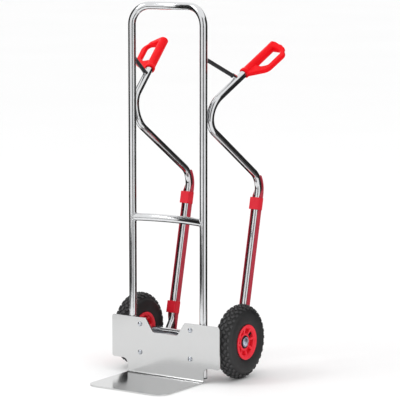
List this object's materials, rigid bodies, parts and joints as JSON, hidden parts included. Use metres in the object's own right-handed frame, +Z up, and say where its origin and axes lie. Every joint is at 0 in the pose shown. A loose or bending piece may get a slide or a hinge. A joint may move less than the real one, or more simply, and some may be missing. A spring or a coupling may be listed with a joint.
{
  "type": "hand truck",
  "caption": "Upright hand truck: aluminium tube hoop on a folded toe plate, bent rear tubes with stair skids, guarded red grips and air tyres.",
  "frame": {"origin": "on the floor under the middle of the truck's box", "axes": "+X to the truck's right across it, +Y from the toe plate to the handles, +Z up"},
  "size_m": [0.6022, 0.6346, 1.3],
  "materials": {
    "tube_aluminium": "polished drawn tube",
    "sheet_aluminium": "smooth rolled sheet",
    "zinc_steel": "bright zinc plate",
    "strut_dark": "dark grey coat",
    "grip_red": "glossy moulded",
    "skid_red": "satin moulded",
    "rim_red": "moulded",
    "tyre": "block tread",
    "black_rubber": "matt",
    "black_plastic": "moulded"
  },
  "bodies": {
    "frame": {"toe_plate": "sheet_aluminium", "main_hoop": "tube_aluminium", "cross_bar": "tube_aluminium", "right_foot_plug": "black_plastic", "left_foot_plug": "black_plastic", "right_handle_tube": "tube_aluminium", "left_handle_tube": "tube_aluminium", "right_strut": "strut_dark", "left_strut": "strut_dark", "right_grip": "grip_red", "left_grip": "grip_red", "right_skid": "skid_red", "left_skid": "skid_red", "right_upper_clip": "skid_red", "left_upper_clip": "skid_red", "right_lower_clip": "skid_red", "left_lower_clip": "skid_red", "axle": "zinc_steel", "axle_tube": "tube_aluminium", "right_axle_bracket": "zinc_steel", "left_axle_bracket": "zinc_steel", "right_upper_bolt": "zinc_steel", "left_upper_bolt": "zinc_steel", "right_upper_nut": "zinc_steel", "left_upper_nut": "zinc_steel", "right_lower_bolt": "zinc_steel", "left_lower_bolt": "zinc_steel", "right_lower_nut": "zinc_steel", "left_lower_nut": "zinc_steel", "right_outer_washer": "zinc_steel", "left_outer_washer": "zinc_steel", "right_inner_washer": "zinc_steel", "left_inner_washer": "zinc_steel", "right_hub_cap": "zinc_steel", "left_hub_cap": "zinc_steel"},
    "left_wheel": {"left_tyre": "tyre", "left_inner_tube": "black_rubber", "left_outer_rim": "rim_red", "left_inner_rim": "rim_red", "left_outer_bearing": "zinc_steel", "left_inner_bearing": "zinc_steel", "left_rim_rivet_1": "zinc_steel", "left_rim_rivet_2": "zinc_steel", "left_rim_rivet_3": "zinc_steel", "left_rim_rivet_4": "zinc_steel", "left_valve_stem": "black_rubber", "left_valve_cap": "black_plastic"},
    "right_wheel": {"right_tyre": "tyre", "right_inner_tube": "black_rubber", "right_outer_rim": "rim_red", "right_inner_rim": "rim_red", "right_outer_bearing": "zinc_steel", "right_inner_bearing": "zinc_steel", "right_rim_rivet_1": "zinc_steel", "right_rim_rivet_2": "zinc_steel", "right_rim_rivet_3": "zinc_steel", "right_rim_rivet_4": "zinc_steel", "right_valve_stem": "black_rubber", "right_valve_cap": "black_plastic"}
  },
  "joints": [
    {"name": "left_wheel_spin", "type": "hinge", "parent": "frame", "child": "left_wheel", "pos_m": [-0.215, 0.07721, 0.13], "axis": [1, 0, 0], "continuous": true},
    {"name": "right_wheel_spin", "type": "hinge", "parent": "frame", "child": "right_wheel", "pos_m": [0.215, 0.07721, 0.13], "axis": [1, 0, 0], "continuous": true}
  ]
}
